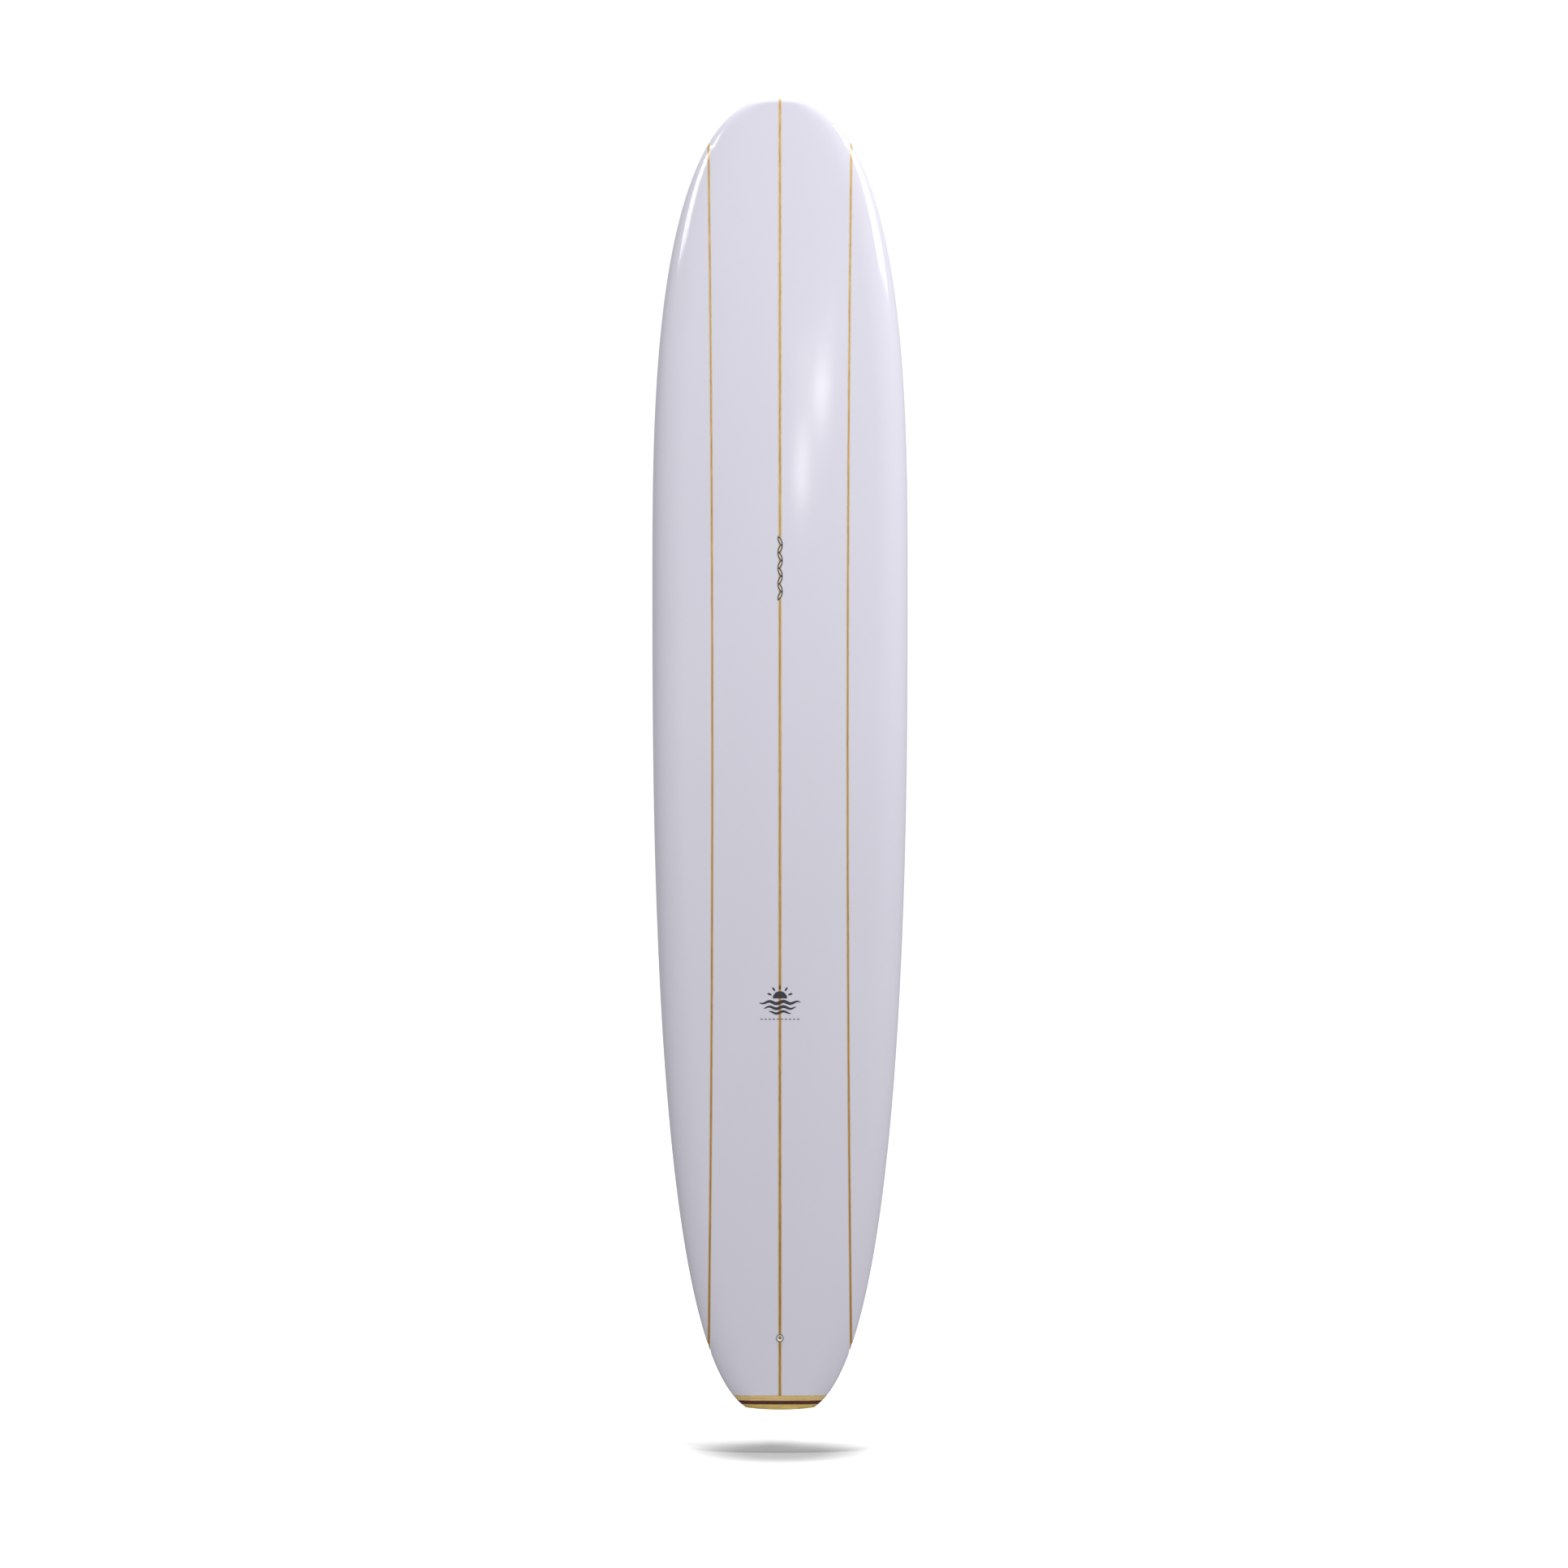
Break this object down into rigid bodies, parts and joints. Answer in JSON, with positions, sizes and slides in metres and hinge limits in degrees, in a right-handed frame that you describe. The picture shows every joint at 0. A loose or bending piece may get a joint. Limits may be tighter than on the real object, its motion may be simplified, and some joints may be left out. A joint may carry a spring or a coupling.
{
  "type": "longboard surfboard",
  "caption": "Long round-nosed surfboard with laminated wood stringers and tail block, clear glossed skin, leash cup and a sliding single fin in a long box.",
  "frame": {"origin": "middle of the flat end of the tail block, where the tail would touch the ground", "axes": "+Z from the tail to the nose, parallel to the flat of the bottom; +Y out of the bottom, on the fin's side, so the deck faces -Y; +X across the board"},
  "size_m": [0.571, 0.3036, 2.896],
  "materials": {
    "foam": "matte",
    "stringer_wood": "satin",
    "pale_ply": "satin",
    "light_block_wood": "satin",
    "dark_block_wood": "satin",
    "clear_laminate": "gloss",
    "decal_film": "satin",
    "cup_plastic": "gloss",
    "smoky_resin": "gloss",
    "stainless": "satin",
    "box_plastic": "satin",
    "fin_laminate": "gloss"
  },
  "bodies": {
    "board": {"foam_left_rail": "foam", "foam_left_center": "foam", "foam_right_center": "foam", "foam_right_rail": "foam", "center_stringer_core": "stringer_wood", "left_stringer_core": "stringer_wood", "right_stringer_core": "stringer_wood", "center_stringer_left_ply": "pale_ply", "center_stringer_right_ply": "pale_ply", "left_stringer_inner_ply": "pale_ply", "left_stringer_outer_ply": "pale_ply", "right_stringer_inner_ply": "pale_ply", "right_stringer_outer_ply": "pale_ply", "tail_block_rear_strip": "light_block_wood", "tail_block_front_strip": "light_block_wood", "tail_block_middle_strip": "dark_block_wood", "deck_glass": "clear_laminate", "bottom_glass": "clear_laminate", "deck_emblem": "decal_film", "stringer_emblem": "decal_film", "leash_cup": "cup_plastic", "cup_resin_ring": "smoky_resin", "leash_bar": "stainless", "fin_box": "box_plastic"},
    "fin": {"fin": "fin_laminate", "fin_roll_pin": "stainless", "fin_plate": "stainless"},
    "screw": {"fin_screw": "stainless"}
  },
  "joints": [
    {"name": "fin_slide", "type": "slide", "parent": "board", "child": "fin", "axis": [0, 0.1102, 0.9939], "range_m": [-0.026, 0.03]},
    {"name": "fin_screw_turn", "type": "hinge", "parent": "fin", "child": "screw", "pos_m": [0, 0.0538, 0.38425], "axis": [0, 0.9939, -0.1102], "range_deg": [0, 720]}
  ]
}
